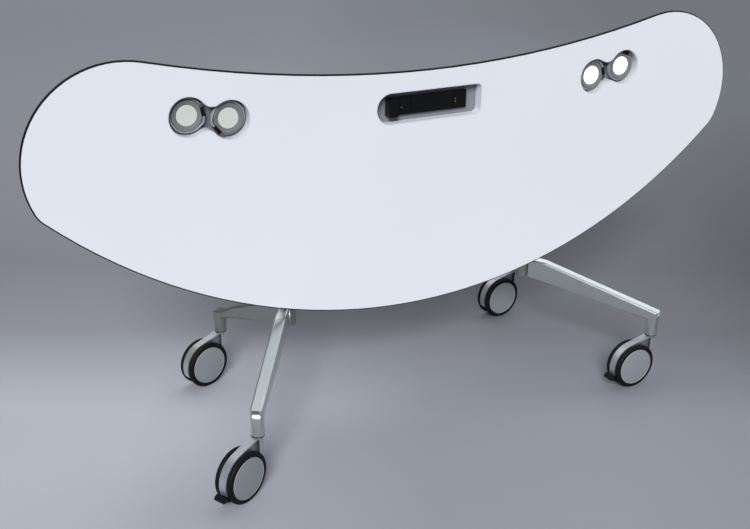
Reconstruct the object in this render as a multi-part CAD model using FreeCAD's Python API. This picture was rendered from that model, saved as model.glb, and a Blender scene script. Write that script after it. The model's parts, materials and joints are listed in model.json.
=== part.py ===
import FreeCAD, Part
import math
import os
from FreeCAD import Rotation, Vector

# Mobile collaborative table: a crescent worktop that flips up on two columns,
# two V-shaped cast legs on twin-wheel casters, a power slot and four wireless pucks
# in two wells. Modelled with the worktop turned up, as it is stored.
# X runs along the table, -Y is the side that the upright worktop faces, Z is up,
# and the floor is Z = 0. All sizes are in millimetres.

X_AXIS = Vector(1, 0, 0)
Y_AXIS = Vector(0, 1, 0)
Z_AXIS = Vector(0, 0, 1)

# Worktop, standing upright
face_y = 32.39
panel_thick = 28.0
band_thick = 3.5
lip_depth = 6.5
lip_round = 3.2
front_edge_low = 239.3
front_edge_radius = 1367.7
back_edge_mid = 865.5
back_edge_radius = 3030.0
end_x = 752.0
end_radius = 225.2
corner_radius = 75.0

# Puck wells: two round pockets joined by a neck, on each side
outer_well = (607.0, 814.5)
inner_well = (510.5, 798.0)
well_radius = 47.0
well_neck_half = 28.0
well_floor = 31.0
liner_wall = 1.5
liner_floor = 2.5
liner_flange = 8.0
flange_thick = 2.0
cutout_gap = 0.2
liner_recess = 0.4

# Power slot, round at one end
slot_left = -141.0
slot_right = 156.5
slot_low = 736.5
slot_high = 816.5
slot_corner = 14.0
slot_floor = 29.0
strip_center = (9.3, 776.0)
strip_length = 227.0
strip_width = 46.0
strip_face = 20.0
strip_groove = 1.6
strip_breaks = (-36.8, 85.7)
socket_block_length = 25.0
socket_block_face = 4.0
arm_start = (-93.0, 793.0)
arm_end = (-66.0, 774.5)
arm_breadth = 5.0
arm_face = 14.0
contact_radius = 1.6
contact_height = 0.8
pair_heights = (-4.5, 2.0)

# Puck, measured from the worktop face down into the well
puck_radius = 35.5
puck_top = 12.0
puck_dish_radius = 34.3
puck_dish_floor = 15.5
puck_flange_radius = 43.0
puck_flange_top = 28.0
button_radius = 24.6
button_gap = 0.3
button_face = 15.8
button_travel = 1.5
button_thick = 4.0
plug_width = 8.5
plug_length = 22.0
plug_thick = 6.5
plug_top = 10.0
plug_offset = 36.5
plug_tip_length = 9.0
lead_diameter = 5.0
lead_radius = 38.2
lead_rise = 5.6
lead_under_plug = 20.0
lead_start = 25.2
lead_leave_angle = 285.0

# Tilt axis, columns and the hidden tilt gear
pivot_behind_face = 60.0
pivot_z = 670.0
column_x = 363.0
column_radius = 16.0
column_foot = 274.0
column_top = 646.0
cross_radius = 19.0
cross_reach = column_x + 19.0
head_reach = column_x + 27.0
head_radius = 24.5
tube_wall = 2.5
running_gap = 0.05
bracket_x = 300.0
bracket_width = 40.0
bracket_ring = 26.0
bracket_plate = 5.0
bracket_screw_radius = 2.5
bracket_screw_bite = 16.0
flange_screw_radius = 1.6
flange_screw_bite = 10.0
index_radius = 28.5
index_x = 343.0
index_thick = 10.0
rod_radius = 5.0
rod_up = 52.0
rod_toward_face = 14.0
nose_radius = 5.0
nose_from_pivot = 34.5
paddle_x = 250.0
paddle_width = 56.0
paddle_up = 178.0
paddle_out = 16.0
spring_wire = 1.6
spring_radius = 7.2
spring_rise = 2.3
spring_turns = 5
spring_leg = 14.0

# Legs
front_stem_x = 571.5
front_stem_before_face = 268.7
rear_stem_x = 479.5
rear_stem_behind_face = 258.0
front_hub = (377.0, 47.7)
rear_hub = (360.4, 55.8)
arm_width = 30.0
hub_width = 32.0
nose_past_hub = 16.0
stem_radius = 16.0
stem_low = 138.6
knee_corner = 8.0
knee_round = 10.0
gusset_radius = 12.0
gusset_half = 8.0
bolt_heights = (241.0, 260.0)
bolt_radius = 4.0
bolt_head_radius = 6.5
bolt_head_height = 5.0
bolt_grip = 18.0
foot_thick = 6.0
foot_ahead = 18.0
foot_behind = 50.0
foot_half_width = 15.5
foot_screws_behind = (28.0, 42.0)

# Casters
wheel_radius = 62.5
disc_radius = 50.4
trail = 62.0
band_width = 20.0
band_radius = 61.5
band_wall = 4.5
web_thick = 5.0
band_end_angle = 22.0
housing_top = 137.6
post_front = 8.0
post_back = -7.0
stem_pin_radius = 4.5
axle_radius = 4.5
axle_half = 21.5
wheel_inner = 11.2
wheel_outer = 25.0
rim_radius = 46.4
pedal_pivot_radius = 50.0
pedal_pivot_angle = 42.0
pedal_pin_radius = 2.0
pedal_half = 8.5
toe_half = 14.5

pivot_y = face_y + pivot_behind_face
rod_y = pivot_y - rod_toward_face
rod_z = pivot_z + rod_up
axle_place = Vector(-trail, 0, wheel_radius)

CASTERS = {
    "front_left": (-front_stem_x, face_y - front_stem_before_face, 28.1, True),
    "front_right": (front_stem_x, face_y - front_stem_before_face, 0.6, True),
    "rear_left": (-rear_stem_x, face_y + rear_stem_behind_face, 19.5, False),
    "rear_right": (rear_stem_x, face_y + rear_stem_behind_face, 6.2, False),
}

# Each puck: its well, the side, and the direction from its centre to its plug
PUCKS = {
    "left_outer": (outer_well, -1, 11.0),
    "left_inner": (inner_well, -1, 219.0),
    "right_inner": (inner_well, 1, 13.0),
    "right_outer": (outer_well, 1, 74.0),
}


# Shared drawing helpers

def unit(vector):
    return Vector(vector).normalize()


def line(start, end):
    return Part.LineSegment(start, end).toShape()


def arc(start, middle, end):
    return Part.Arc(start, middle, end).toShape()


def rounded_wire(points, radii):
    """Closed flat outline with each corner rounded to its own radius."""
    first, middle, last = [], [], []
    for index, here in enumerate(points):
        radius = radii[index]
        back = unit(points[index - 1] - here)
        ahead = unit(points[(index + 1) % len(points)] - here)
        half = back.getAngle(ahead) / 2
        reach = radius / math.tan(half)
        first.append(here + back * reach)
        last.append(here + ahead * reach)
        middle.append(here + unit(back + ahead) * (radius / math.sin(half) - radius))
    edges = []
    for index, radius in enumerate(radii):
        if radius > 0:
            edges.append(arc(first[index], middle[index], last[index]))
        following = first[(index + 1) % len(points)]
        if (following - last[index]).Length > 1e-6:
            edges.append(line(last[index], following))
    return Part.Wire(edges)


def prism(wire, direction):
    return Part.Face(wire).extrude(direction)


def cylinder(radius, start, end):
    return Part.makeCylinder(radius, (end - start).Length, start, end - start)


def ring_tube(outer, inner, start, end):
    return cylinder(outer, start, end).cut(cylinder(inner, start, end))


def box_between(low, high):
    size = high - low
    return Part.makeBox(size.x, size.y, size.z, low)


def fuse(shapes):
    return shapes[0].multiFuse(shapes[1:]).removeSplitter()


def save(name, shapes):
    """Write one node; a list of shapes becomes a group of separate solids."""
    shape = Part.makeCompound(shapes) if isinstance(shapes, list) else shapes
    shape.exportStep("parts/" + name + ".step")


def circle_arc(center, radius, start, end):
    """Arc in the upright plane of the worktop, between two angles in radians."""
    angles = (start, (start + end) / 2, end)
    points = [Vector(center[0] + radius * math.cos(a), 0, center[1] + radius * math.sin(a)) for a in angles]
    return arc(*points)


def slab(wire, start, end):
    """Solid from an outline in the worktop's plane, between two depths behind its face."""
    solid = prism(wire, Y_AXIS * (end - start))
    solid.translate(Y_AXIS * (face_y + start))
    return solid


# Worktop

def worktop_outline(inset):
    """Crescent of six tangent arcs, drawn inside the finished edge by the inset."""
    front = (0, front_edge_low + front_edge_radius)
    back = (0, back_edge_mid + back_edge_radius)
    end_z = back[1] - math.sqrt((back_edge_radius + end_radius) ** 2 - end_x ** 2)
    to_end = math.hypot(end_x, front[1] - end_z)
    from_front = front_edge_radius - corner_radius
    from_end = end_radius - corner_radius
    spread = math.acos((to_end ** 2 + from_front ** 2 - from_end ** 2) / (2 * to_end * from_front))
    at_front = math.atan2(end_z - front[1], end_x) + spread
    corner_x = from_front * math.cos(at_front)
    corner_z = front[1] + from_front * math.sin(at_front)
    at_corner = math.atan2(corner_z - end_z, corner_x - end_x)
    at_back = math.atan2(back[1] - end_z, -end_x)
    corner = corner_radius - inset
    end = end_radius - inset
    edges = [
        circle_arc(front, front_edge_radius - inset, -math.pi - at_front, at_front),
        circle_arc((corner_x, corner_z), corner, at_front, at_corner),
        circle_arc((end_x, end_z), end, at_corner, at_back),
        circle_arc(back, back_edge_radius + inset, at_back - math.pi, -at_back),
        circle_arc((-end_x, end_z), end, math.pi - at_back, math.pi - at_corner),
        circle_arc((-corner_x, corner_z), corner, math.pi - at_corner, math.pi - at_front),
    ]
    return Part.Wire(edges)


def well_outline(side, grow):
    """Two circles joined by a neck of two hollow arcs."""
    outer = Vector(side * outer_well[0], 0, outer_well[1])
    inner = Vector(side * inner_well[0], 0, inner_well[1])
    middle = (outer + inner) * 0.5
    half = (outer - inner).Length / 2
    along = unit(outer - inner)
    across = along.cross(Y_AXIS)
    hollow = (half ** 2 + well_neck_half ** 2 - well_radius ** 2) / (2 * (well_radius - well_neck_half))
    radius = well_radius + grow
    upper = middle + across * (well_neck_half + hollow)
    lower = middle - across * (well_neck_half + hollow)
    touch = {}
    for name, center in (("outer", outer), ("inner", inner)):
        touch[name, "upper"] = center + unit(upper - center) * radius
        touch[name, "lower"] = center + unit(lower - center) * radius
    edges = [
        arc(touch["outer", "lower"], outer + along * radius, touch["outer", "upper"]),
        arc(touch["outer", "upper"], middle + across * (well_neck_half + grow), touch["inner", "upper"]),
        arc(touch["inner", "upper"], inner - along * radius, touch["inner", "lower"]),
        arc(touch["inner", "lower"], middle - across * (well_neck_half + grow), touch["outer", "lower"]),
    ]
    return Part.Wire(edges)


def slot_outline(grow):
    """Power slot: a full round at the left end and small corners at the right."""
    low, high = slot_low - grow, slot_high + grow
    round_x = slot_left + (slot_high - slot_low) / 2
    right = slot_right + grow
    corner = slot_corner + grow
    middle = (low + high) / 2
    flat = right - corner
    swing = corner * math.sqrt(0.5)
    edges = [
        arc(Vector(round_x, 0, high), Vector(slot_left - grow, 0, middle), Vector(round_x, 0, low)),
        line(Vector(round_x, 0, low), Vector(flat, 0, low)),
        arc(Vector(flat, 0, low), Vector(flat + swing, 0, low + corner - swing), Vector(right, 0, low + corner)),
        line(Vector(right, 0, low + corner), Vector(right, 0, high - corner)),
        arc(Vector(right, 0, high - corner), Vector(flat + swing, 0, high - corner + swing), Vector(flat, 0, high)),
        line(Vector(flat, 0, high), Vector(round_x, 0, high)),
    ]
    return Part.Wire(edges)


def edge_loft(stations):
    """Solid through outlines of the worktop, each given by its inset and its depth behind the face."""
    wires = []
    for inset, depth in stations:
        wire = worktop_outline(inset)
        wire.translate(Y_AXIS * (face_y + depth))
        wires.append(wire)
    return Part.makeLoft(wires, True, True)


def board():
    """Board inside the moulded edge: straight behind the lip, then bevelled back to the underside."""
    beside = band_thick * math.sqrt(2)
    turn = lip_depth + band_thick - beside
    return edge_loft([(band_thick, 0), (band_thick, turn), (panel_thick - lip_depth + beside, panel_thick)])


def worktop_panel():
    """Laminated board with its cut-outs and the pilot holes of its screws."""
    panel = board()
    past = 1.0
    cuts = [slab(well_outline(side, cutout_gap), -past, panel_thick + past) for side in (-1, 1)]
    cuts.append(slab(slot_outline(cutout_gap), -past, panel_thick + past))
    for side in (-1, 1):
        for place in bracket_screws(side):
            cuts.append(cylinder(bracket_screw_radius, place - Y_AXIS * bracket_screw_bite, place + Y_AXIS))
    for place in flange_screws():
        cuts.append(cylinder(flange_screw_radius, place - Y_AXIS * flange_screw_bite, place + Y_AXIS))
    return panel.cut(Part.makeCompound(cuts))


def edge_band():
    """Black moulded edge: a rounded lip at the face and a bevel back to the underside."""
    stations = []
    for angle in (0, 30, 60, 90):
        a = math.radians(angle)
        stations.append((lip_round * (1 - math.sin(a)), lip_round * (1 - math.cos(a))))
    stations += [(0, lip_depth), (panel_thick - lip_depth, panel_thick)]
    return edge_loft(stations).cut(board())


def lined_recess(outline, floor):
    """Moulded pan that lines a cut-out, with a flange against the underside."""
    wall = slab(outline(0), liner_recess, floor + liner_floor)
    flange = slab(outline(liner_flange), panel_thick, panel_thick + flange_thick)
    hollow = slab(outline(-liner_wall), -1.0, floor)
    pan = wall.fuse(flange).cut(hollow).removeSplitter()
    holes = []
    for place in flange_screws():
        holes.append(cylinder(flange_screw_radius, place - Y_AXIS, place + Y_AXIS * (flange_thick + 1)))
    return pan.cut(Part.makeCompound(holes))


def well_liner(side):
    return lined_recess(lambda grow: well_outline(side, grow), well_floor)


def power_tray():
    return lined_recess(slot_outline, slot_floor)


def upright_rectangle(center, length, height, radius):
    across, up = length / 2, height / 2
    corners = [(-across, -up), (across, -up), (across, up), (-across, up)]
    points = [Vector(center[0] + x, 0, center[1] + z) for x, z in corners]
    return rounded_wire(points, [radius] * 4)


def power_strip():
    """Three-section strip on the tray floor, with a raised socket block at its left end."""
    bar = slab(upright_rectangle(strip_center, strip_length, strip_width, 2.0), strip_face, slot_floor)
    left = strip_center[0] - strip_length / 2
    block_center = (left + socket_block_length / 2, strip_center[1] - 1.0)
    block = slab(upright_rectangle(block_center, socket_block_length, strip_width - 2, 3.0),
                 socket_block_face, slot_floor)
    beside = left + socket_block_length
    slope = [Vector(beside - 1, face_y + socket_block_face, 0), Vector(beside, face_y + socket_block_face, 0),
             Vector(beside + 10, face_y + strip_face, 0), Vector(beside - 1, face_y + strip_face, 0)]
    cheek = prism(Part.makePolygon(slope + slope[:1]), Z_AXIS * (strip_width - 8))
    cheek.translate(Z_AXIS * (strip_center[1] - strip_width / 2 + 3))
    strip = fuse([bar, block, cheek, contact_arm()])
    for place in strip_breaks:
        groove = upright_rectangle((place, strip_center[1]), strip_groove, strip_width + 4, 0.3)
        strip = strip.cut(slab(groove, strip_face - 1, strip_face + 1.5))
    return strip


def contact_arm():
    """Slim arm that slants from the raised block to a contact on the strip."""
    start = Vector(arm_start[0], 0, arm_start[1])
    end = Vector(arm_end[0], 0, arm_end[1])
    along = unit(end - start)
    across = along.cross(Y_AXIS) * (arm_breadth / 2)
    end = end + along * (arm_breadth / 2)
    return slab(rounded_wire([start - across, end - across, end + across, start + across], [0, 2, 2, 0]),
                arm_face, strip_face)


def power_contacts():
    """Brass contacts: one on the slim arm and two beside the right section line."""
    right_pair = strip_breaks[1] + 5
    contacts = []
    places = [(*arm_end, arm_face)]
    places += [(right_pair, strip_center[1] + up, strip_face) for up in pair_heights]
    for x, z, base in places:
        start = Vector(x, face_y + base - contact_height, z)
        contacts.append(cylinder(contact_radius, start, start + Y_AXIS * contact_height))
    return contacts


# Pucks and their wound leads

def biarc(start, start_way, end, end_way):
    """Two arcs that leave one point along its direction and reach the next along its own."""
    gap = end - start
    both = start_way + end_way
    turn = 2 * (1 - start_way.dot(end_way))
    reach = (-gap.dot(both) + math.sqrt(gap.dot(both) ** 2 + turn * gap.dot(gap))) / turn
    first = start + start_way * reach
    second = end - end_way * reach
    join = (first + second) * 0.5
    edges = []
    for begin, corner, finish in ((start, first, join), (join, second, end)):
        middle = (begin + finish) * 0.5
        half_chord = (finish - begin).Length / 2
        lean = math.acos(half_chord / (corner - begin).Length)
        edges.append(arc(begin, middle + unit(corner - middle) * half_chord * math.tan(lean / 2), finish))
    return edges


class Coil:
    """Helix about Z, as biarcs of a quarter turn."""

    def __init__(self, radius, rise, start_angle, start_z):
        self.radius = radius
        self.rise = rise
        self.start_angle = start_angle
        self.start_z = start_z

    def point(self, angle):
        a = math.radians(angle)
        climb = self.rise * (angle - self.start_angle) / 360
        return Vector(self.radius * math.cos(a), self.radius * math.sin(a), self.start_z + climb)

    def way(self, angle):
        a = math.radians(angle)
        around = Vector(-math.sin(a), math.cos(a), 0) * self.radius
        return unit(around + Z_AXIS * (self.rise / (2 * math.pi)))

    def edges(self, end_angle):
        count = math.ceil((end_angle - self.start_angle) / 90)
        step = (end_angle - self.start_angle) / count
        result = []
        for index in range(count):
            a = self.start_angle + index * step
            b = a + step
            result += biarc(self.point(a), self.way(a), self.point(b), self.way(b))
        return result


def tube_along(edges, start, way, diameter):
    profile = Part.Wire(Part.Circle(start, way, diameter / 2).toShape())
    return Part.Wire(edges).makePipeShell([profile], True, False)


def least_gap(edges, diameter):
    """Least clear distance between stretches of a wound tube that lie over half a turn apart."""
    points = []
    for edge in edges:
        points += edge.discretize(9)[:-1]
    turn = 2 * 8 * 4
    gaps = [(a - b).Length for i, a in enumerate(points) for b in points[i + turn // 2:]]
    return min(gaps) - diameter


def puck_lead_edges():
    """Centre line of a lead: level out of its boss, round the puck, and level into the plug."""
    start_angle = 360 * (lead_under_plug - lead_start) / lead_rise
    settle = 60.0
    coil = Coil(lead_radius, lead_rise, start_angle + settle, -lead_start + lead_rise * settle / 360)
    level = unit(Vector(coil.way(start_angle).x, coil.way(start_angle).y, 0))
    begin = Vector(coil.point(start_angle).x, coil.point(start_angle).y, -lead_start)
    join, leave = coil.start_angle, lead_leave_angle
    plug_end = Vector(plug_offset, -plug_length / 2 - lead_diameter, -plug_top - plug_thick / 2)
    edges = [line(begin - level * lead_diameter, begin)]
    edges += biarc(begin, level, coil.point(join), coil.way(join))
    edges += coil.edges(leave)
    edges += biarc(coil.point(leave), coil.way(leave), plug_end, Y_AXIS)
    edges.append(line(plug_end, plug_end + Y_AXIS * lead_diameter))
    return edges


def puck_lead():
    """Captive lead wound round the puck, with its moulded plug and metal tip."""
    edges = puck_lead_edges()
    start = edges[0].Vertexes[0].Point
    way = unit(edges[0].Vertexes[1].Point - start)
    tube = tube_along(edges, start, way, lead_diameter)
    half = plug_width / 2
    low = -plug_top - plug_thick
    begin = -plug_length / 2
    body_points = [Vector(plug_offset - half, begin, low), Vector(plug_offset + half, begin, low),
                   Vector(plug_offset + half, begin, -plug_top), Vector(plug_offset - half, begin, -plug_top)]
    body = prism(rounded_wire(body_points, [1.5] * 4), Y_AXIS * plug_length)
    tip_low = Vector(plug_offset - half + 1.2, begin + plug_length, low + 1.0)
    tip_high = Vector(plug_offset + half - 1.2, begin + plug_length + plug_tip_length, -plug_top - 1.0)
    return [tube, body, box_between(tip_low, tip_high)]


def puck_shell():
    """Low round housing: dished face, base flange, plug notch and lead boss."""
    floor = -well_floor
    profile = [(0, floor), (puck_flange_radius, floor), (puck_flange_radius, -puck_flange_top),
               (puck_radius, -puck_flange_top), (puck_radius, -puck_top - 0.8), (puck_radius - 0.8, -puck_top),
               (puck_dish_radius, -puck_top), (button_radius + button_gap, -puck_dish_floor),
               (button_radius + button_gap, -button_face - button_travel - button_thick - 0.3),
               (0, -button_face - button_travel - button_thick - 0.3)]
    points = [Vector(r, 0, z) for r, z in profile]
    shell = Part.Face(Part.makePolygon(points + points[:1])).revolve(Vector(0, 0, 0), Z_AXIS, 360)
    notch_side = plug_offset - plug_width / 2 - 0.15
    notch_low = -plug_top - plug_thick - 0.1
    reach = plug_length / 2 + plug_tip_length + 1
    shell = shell.cut(box_between(Vector(notch_side, -reach, notch_low), Vector(60, reach, 0)))
    edges = puck_lead_edges()
    start = edges[0].Vertexes[0].Point
    way = unit(edges[0].Vertexes[1].Point - start)
    outward = way.cross(Z_AXIS)
    boss_points = [(-8.0, 31.0), (0.0, 31.0), (0.0, 41.6), (-8.0, 41.6)]
    places = [start + way * a + outward * (r - lead_radius) for a, r in boss_points]
    places = [Vector(p.x, p.y, -puck_flange_top) for p in places]
    boss = prism(rounded_wire(places, [0.5] * 4), Z_AXIS * 5.2)
    return fuse([shell, boss])


def puck_button():
    """Light-diffusing push disc that sinks into the dish."""
    top = -button_face
    profile = [(0, top - button_thick), (button_radius, top - button_thick), (button_radius, top - 0.6),
               (button_radius - 0.6, top), (0, top)]
    points = [Vector(r, 0, z) for r, z in profile]
    return Part.Face(Part.makePolygon(points + points[:1])).revolve(Vector(0, 0, 0), Z_AXIS, 360)


def into_well(shape, name):
    """Turn a puck piece to its plug's direction and set it into its well."""
    center, side, plug_angle = PUCKS[name]
    placed = shape.copy()
    if side > 0:
        placed = placed.mirror(Vector(0, 0, 0), Y_AXIS)
    placed.rotate(Vector(0, 0, 0), Z_AXIS, plug_angle)
    placed.rotate(Vector(0, 0, 0), X_AXIS, 90)
    placed.translate(Vector(side * center[0], face_y, center[1]))
    return placed


# Legs

def stem_place(side, front):
    if front:
        return Vector(side * front_stem_x, face_y - front_stem_before_face, 0)
    return Vector(side * rear_stem_x, face_y + rear_stem_behind_face, 0)


def arm_axis(side, front):
    """Stem position, direction to the hub, and the level direction across the arm."""
    stem = stem_place(side, front)
    hub_x, hub_behind_face = front_hub if front else rear_hub
    hub = Vector(side * hub_x, face_y + hub_behind_face, 0)
    along = unit(hub - stem)
    return stem, along, Vector(-along.y, along.x, 0), (hub - stem).Length


def arm_section(stem, along, across, station):
    """Rounded section of an arm: (distance from stem, width, underside, top)."""
    distance, width, low, high = station
    center = stem + along * distance
    corners = [(-width / 2, low), (width / 2, low), (width / 2, high), (-width / 2, high)]
    points = [center + across * u + Z_AXIS * v for u, v in corners]
    return rounded_wire(points, [4.0, 4.0, 6.0, 6.0])


def arm_casting(side, front, stations):
    """Tapered arm through its sections, rounded in plan at its ends, on a round stem."""
    stem, along, across, length = arm_axis(side, front)
    wires = [arm_section(stem, along, across, station) for station in stations]
    arm = Part.makeLoft(wires, True, True)
    plan = [(station[0], -station[1] / 2) for station in stations]
    plan += [(station[0], station[1] / 2) for station in reversed(stations)]
    radii = [knee_corner] + [0] * (len(plan) - 2) + [knee_corner]
    radii[len(stations) - 1] = knee_corner
    radii[len(stations)] = knee_corner
    points = [stem + along * u + across * v + Z_AXIS * 100 for u, v in plan]
    arm = arm.common(prism(rounded_wire(points, radii), Z_AXIS * 250))
    crown = edge_height(stations, knee_round - arm_width / 2, 3)
    underside = edge_height(stations, arm_width / 2 + gusset_radius, 2)
    arm = arm.cut(knee_waste(stem, along, across, crown))
    return fuse([arm, knee_stem(stem, along, across), knee_gusset(stem, along, across, underside)])


def edge_height(stations, distance, index):
    """Height of an arm's underside (2) or top (3) at a distance from its stem."""
    for first, second in zip(stations, stations[1:]):
        if first[0] <= distance <= second[0]:
            share = (distance - first[0]) / (second[0] - first[0])
            return first[index] + (second[index] - first[index]) * share


def knee_waste(stem, along, across, crown):
    """What is cut away outside the rounded top corner of the knee."""
    def at(u, z):
        return stem + along * u + Z_AXIS * z - across * arm_width
    outer = -arm_width / 2
    swing = knee_round * (1 - math.sqrt(0.5))
    points = [at(outer + knee_round, crown), at(outer + knee_round, crown + 20), at(outer - 5, crown + 20),
              at(outer - 5, crown - knee_round), at(outer, crown - knee_round)]
    edges = [line(a, b) for a, b in zip(points, points[1:])]
    edges.append(arc(points[-1], at(outer + swing, crown - swing), points[0]))
    return prism(Part.Wire(edges), across * (2 * arm_width))


def knee_gusset(stem, along, across, underside):
    """Hollow fillet under the arm, where it leaves the stem."""
    def at(u, z):
        return stem + along * u + Z_AXIS * z - across * gusset_half
    near = arm_width / 2
    far = near + gusset_radius
    low = underside - gusset_radius
    swing = gusset_radius * math.sqrt(0.5)
    points = [at(near, low), at(near - 3, low), at(near - 3, underside + 3), at(far, underside + 3),
              at(far, underside)]
    edges = [line(a, b) for a, b in zip(points, points[1:])]
    edges.append(arc(points[-1], at(far - swing, low + swing), points[0]))
    return prism(Part.Wire(edges), across * (2 * gusset_half))


def knee_stem(stem, along, across):
    """Round stem that swells into the square knee above it."""
    half = arm_width / 2
    flat = half - knee_corner
    round_top, square_low, square_high = 158.0, 181.0, 189.0
    square_plan = [(half, -half), (half, half), (-half, half), (-half, -half)]
    square_points = [stem + along * u + across * v for u, v in square_plan]
    lower = rounded_wire([p + Z_AXIS * square_low for p in square_points], [knee_corner] * 4)
    split = math.atan2(flat, half)
    edges = []
    for quarter in range(4):
        middle = quarter * math.pi / 2
        for start, end in ((middle - math.pi / 2 + split, middle - split), (middle - split, middle + split)):
            angles = (start, (start + end) / 2, end)
            places = [stem + (along * math.cos(a) + across * math.sin(a)) * stem_radius + Z_AXIS * round_top
                      for a in angles]
            edges.append(arc(*places))
    swell = Part.makeLoft([Part.Wire(edges), lower], True, True)
    block = prism(lower, Z_AXIS * (square_high - square_low))
    shaft = cylinder(stem_radius, stem + Z_AXIS * stem_low, stem + Z_AXIS * round_top)
    socket = cylinder(stem_pin_radius, stem + Z_AXIS * (stem_low - 1), stem + Z_AXIS * 176)
    return fuse([shaft, swell, block]).cut(socket)


def bolt_line(side, height):
    """Start and direction of a bolt that draws the front arm against the rear arm."""
    stem, along, across, length = arm_axis(side, False)
    outward = across if across.x * side > 0 else across * -1
    through = stem + along * length - outward * (hub_width / 2) + Z_AXIS * height
    return through, outward


def rear_arm(side):
    hub_distance = arm_axis(side, False)[3]
    stations = [(-arm_width / 2, arm_width, 181, 200), (14, arm_width, 184, 203.5), (60, 31, 196, 230),
                (165, hub_width, 218, 271), (177, hub_width, 220, column_foot),
                (hub_distance + nose_past_hub, hub_width, 227, column_foot)]
    arm = arm_casting(side, False, stations)
    for height in bolt_heights:
        start, outward = bolt_line(side, height)
        arm = arm.cut(cylinder(bolt_radius, start - outward, start + outward * (hub_width + 2)))
    return arm


def front_arm(side):
    hub_distance = arm_axis(side, True)[3]
    stations = [(-arm_width / 2, arm_width, 182, 209), (320, arm_width, 219, 278),
                (hub_distance + 30, arm_width, 226, 280)]
    arm = arm_casting(side, True, stations)
    stem, along, across, length = arm_axis(side, False)
    start, outward = bolt_line(side, 0)
    face = start + outward * hub_width
    corners = [face + along * 120, face - along * 120, face - along * 120 - outward * 90,
               face + along * 120 - outward * 90]
    arm = arm.cut(prism(Part.makePolygon(corners + corners[:1]), Z_AXIS * 400))
    for height in bolt_heights:
        start, outward = bolt_line(side, height)
        arm = arm.cut(cylinder(bolt_radius, start, start + outward * (hub_width + bolt_grip)))
    return arm


def column_base(side):
    return Vector(side * column_x, pivot_y, column_foot)


def foot_outline(side, height):
    """Foot plate of a column, lying along the rear arm."""
    stem, along, across, length = arm_axis(side, False)
    center = column_base(side)
    ahead, behind, half = foot_ahead, foot_behind, foot_half_width
    plan = [(-behind, -half), (ahead, -half), (ahead, half), (-behind, half)]
    points = [Vector(center.x, center.y, height) + along * u + across * v for u, v in plan]
    return rounded_wire(points, [8.0] * 4)


def foot_screw_places(side):
    along = arm_axis(side, False)[1]
    center = column_base(side)
    return [center - along * distance for distance in foot_screws_behind]


def column(side):
    """Round steel column on a welded foot plate."""
    base = column_base(side)
    plate = prism(foot_outline(side, base.z), Z_AXIS * foot_thick)
    top = Vector(base.x, base.y, column_top)
    tube = ring_tube(column_radius, column_radius - tube_wall, base + Z_AXIS * foot_thick, top)
    shape = fuse([plate, tube])
    for place in foot_screw_places(side):
        shape = shape.cut(cylinder(3.0, place - Z_AXIS, place + Z_AXIS * (foot_thick + 2)))
    return shape


def column_head(side):
    """Cast head: socket over the column, blind cross bore and notched index ring."""
    def across(start, end, radius):
        return cylinder(radius, Vector(side * start, pivot_y, pivot_z), Vector(side * end, pivot_y, pivot_z))
    base = Vector(side * column_x, pivot_y, 0)
    socket = cylinder(column_radius + 4, base + Z_AXIS * (column_top - 28), base + Z_AXIS * (column_top + 16))
    inner = index_x - index_thick / 2
    barrel = across(inner, head_reach, head_radius)
    ring = across(inner, inner + index_thick, index_radius)
    head = fuse([socket, barrel, ring])
    head = head.cut(cylinder(column_radius, base + Z_AXIS * (column_top - 36), base + Z_AXIS * column_top))
    head = head.cut(across(inner - 1, cross_reach, cross_radius))
    lean = nose_lean() + 90
    a = math.radians(lean)
    center = Vector(0, pivot_y + index_radius * math.sin(a), pivot_z + index_radius * math.cos(a))
    notch = cylinder(nose_radius + 0.6, center + X_AXIS * side * (inner - 1),
                     center + X_AXIS * side * (inner + index_thick + 1))
    keep = across(inner + index_thick, head_reach + 10, head_radius)
    return head.cut(notch.cut(keep))


def cross_tube():
    left = Vector(-cross_reach, pivot_y, pivot_z)
    right = Vector(cross_reach, pivot_y, pivot_z)
    return ring_tube(cross_radius, cross_radius - tube_wall, left, right)


def top_buffers():
    """Rubber stops on the columns that the upright worktop leans on."""
    buffers = []
    for side in (-1, 1):
        start = Vector(side * column_x, face_y + panel_thick + 0.3, 420)
        stop = cylinder(9.0, start, start + Y_AXIS * 18)
        column_core = cylinder(column_radius, Vector(start.x, pivot_y, 400), Vector(start.x, pivot_y, 440))
        buffers.append(stop.cut(column_core))
    return buffers


def leg_bolts():
    """Two bolts at each leg joint and two screws in each column foot."""
    bolts = []
    for side in (-1, 1):
        for height in bolt_heights:
            start, outward = bolt_line(side, height)
            shank = cylinder(bolt_radius, start, start + outward * (hub_width + bolt_grip))
            head = cylinder(bolt_head_radius, start - outward * bolt_head_height, start)
            bolts.append(fuse([shank, head]))
        for place in foot_screw_places(side):
            bolts.append(cylinder(5.0, place + Z_AXIS * foot_thick, place + Z_AXIS * (foot_thick + 4)))
    return bolts


# Tilt gear

def nose_lean():
    """Angle from straight up to the latch nose, seen along X, where the pawl arm just clears the ring."""
    rod_angle = math.degrees(math.atan2(-rod_toward_face, rod_up))
    rod_distance = math.hypot(rod_toward_face, rod_up)
    return rod_angle + math.degrees(math.acos(nose_from_pivot / rod_distance))


def side_points(points):
    """Points from (toward the back, up) measured from the tilt axis."""
    return [Vector(0, pivot_y + out, pivot_z + up) for out, up in points]


def side_prism(points, radii, center_x, width):
    solid = prism(rounded_wire(side_points(points), radii), X_AXIS * width)
    solid.translate(X_AXIS * (center_x - width / 2))
    return solid


def along_x(radius, out, up, start, end):
    return cylinder(radius, Vector(start, pivot_y + out, pivot_z + up), Vector(end, pivot_y + out, pivot_z + up))


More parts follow.
